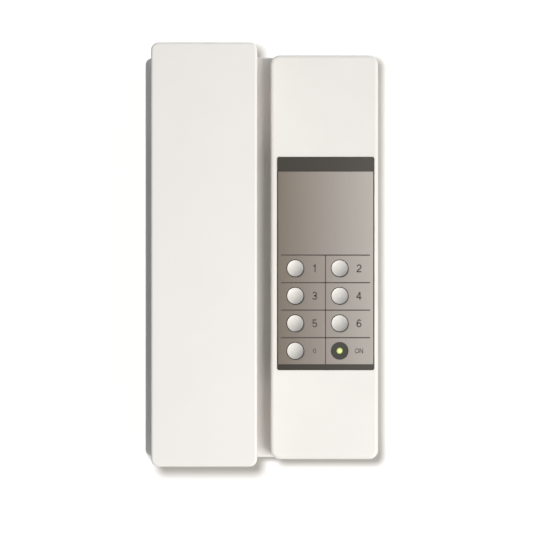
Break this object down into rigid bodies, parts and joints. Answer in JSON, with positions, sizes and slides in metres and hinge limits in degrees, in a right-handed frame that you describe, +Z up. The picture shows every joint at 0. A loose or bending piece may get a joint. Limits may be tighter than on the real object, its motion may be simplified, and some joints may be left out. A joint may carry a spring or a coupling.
{
  "type": "audio intercom handset",
  "caption": "Wall intercom: a flat handset hangs on a shallow base beside a column with round keys and a lamp.",
  "frame": {"origin": "centre of the wall bracket's back face, where it lies on the wall", "axes": "+Z up, +X to the right seen from the room, +Y into the wall, so the front faces -Y"},
  "size_m": [0.1218, 0.058, 0.2168],
  "materials": {
    "shell_plastic": "fine-grained cream moulding",
    "handset_plastic": "fine-grained cream moulding",
    "bezel_plastic": "dark brown-grey, satin",
    "brushed_plate": "brushed upright, warm grey lacquer",
    "key_plastic": "pale domed caps, soft gloss",
    "collar_plastic": "dark satin disc",
    "lamp_lens": "diffused yellow-green lens",
    "zinc_steel": "zinc-plated pressed steel",
    "screw_steel": "zinc-plated screws",
    "pad_rubber": "soft black rubber",
    "board_laminate": "green solder mask on glass laminate",
    "switch_plastic": "black moulded plastic",
    "speaker_paper": "black paper cone",
    "magnet_ferrite": "dark ferrite",
    "terminal_plastic": "pale grey moulded block",
    "transformer_steel": "varnished core and winding",
    "capacitor_sleeve": "dark blue sleeve",
    "connector_plastic": "natural nylon",
    "socket_plastic": "black moulded socket",
    "wire_insulation": "coloured insulation",
    "capsule_plastic": "black capsule",
    "microphone_can": "plain can",
    "ballast_steel": "plain steel bar"
  },
  "bodies": {
    "station": {"wall_bracket": "zinc_steel", "rear_cover": "shell_plastic", "front_housing": "shell_plastic", "hook_peg": "shell_plastic", "hook_peg_screw": "screw_steel", "cradle_pads": "pad_rubber", "panel_bezel": "bezel_plastic", "panel_plate": "brushed_plate", "main_board": "board_laminate", "board_screws": "screw_steel", "case_screws": "screw_steel", "press_switches": "switch_plastic", "status_lamp": "lamp_lens", "lamp_spacer": "switch_plastic", "lamp_collar": "collar_plastic", "speaker_basket": "zinc_steel", "speaker_cone": "speaker_paper", "speaker_magnet": "magnet_ferrite", "terminal_block": "terminal_plastic", "terminal_screws": "screw_steel", "line_transformer": "transformer_steel", "capacitors": "capacitor_sleeve", "circuit_chips": "switch_plastic", "board_connectors": "connector_plastic", "base_cord_socket": "socket_plastic", "hook_switch": "switch_plastic", "speaker_wires": "wire_insulation", "hook_switch_wires": "wire_insulation", "line_wires": "wire_insulation", "base_socket_wires": "wire_insulation"},
    "handset": {"handset_front_shell": "handset_plastic", "handset_back_shell": "handset_plastic", "handset_screws": "screw_steel", "handset_cord_socket": "socket_plastic", "receiver_gasket": "pad_rubber", "receiver_capsule": "capsule_plastic", "microphone_boot": "pad_rubber", "microphone": "microphone_can", "ballast_weight": "ballast_steel", "handset_wires": "wire_insulation"},
    "hook_plunger": {"hook_plunger": "shell_plastic"},
    "key_1": {"key_1": "key_plastic", "key_plunger_1": "switch_plastic"},
    "key_2": {"key_2": "key_plastic", "key_plunger_2": "switch_plastic"},
    "key_3": {"key_3": "key_plastic", "key_plunger_3": "switch_plastic"},
    "key_4": {"key_4": "key_plastic", "key_plunger_4": "switch_plastic"},
    "key_5": {"key_5": "key_plastic", "key_plunger_5": "switch_plastic"},
    "key_6": {"key_6": "key_plastic", "key_plunger_6": "switch_plastic"},
    "key_7": {"key_7": "key_plastic", "key_plunger_7": "switch_plastic"}
  },
  "joints": [
    {"name": "handset_lift", "type": "slide", "parent": "station", "child": "handset", "axis": [0, -0.8192, 0.5736], "range_m": [0, 0.06]},
    {"name": "hook_plunger_rise", "type": "slide", "parent": "station", "child": "hook_plunger", "axis": [0, -1, 0], "range_m": [0, 0.003]},
    {"name": "key_1_press", "type": "slide", "parent": "station", "child": "key_1", "axis": [0, 1, 0], "range_m": [0, 0.0008], "stiffness_N_per_m": 700},
    {"name": "key_2_press", "type": "slide", "parent": "station", "child": "key_2", "axis": [0, 1, 0], "range_m": [0, 0.0008], "stiffness_N_per_m": 700},
    {"name": "key_3_press", "type": "slide", "parent": "station", "child": "key_3", "axis": [0, 1, 0], "range_m": [0, 0.0008], "stiffness_N_per_m": 700},
    {"name": "key_4_press", "type": "slide", "parent": "station", "child": "key_4", "axis": [0, 1, 0], "range_m": [0, 0.0008], "stiffness_N_per_m": 700},
    {"name": "key_5_press", "type": "slide", "parent": "station", "child": "key_5", "axis": [0, 1, 0], "range_m": [0, 0.0008], "stiffness_N_per_m": 700},
    {"name": "key_6_press", "type": "slide", "parent": "station", "child": "key_6", "axis": [0, 1, 0], "range_m": [0, 0.0008], "stiffness_N_per_m": 700},
    {"name": "key_7_press", "type": "slide", "parent": "station", "child": "key_7", "axis": [0, 1, 0], "range_m": [0, 0.0008], "stiffness_N_per_m": 700}
  ],
  "couplings": [
    {"joint": "hook_plunger_rise", "follows": "handset_lift", "ratio": 0.05}
  ]
}
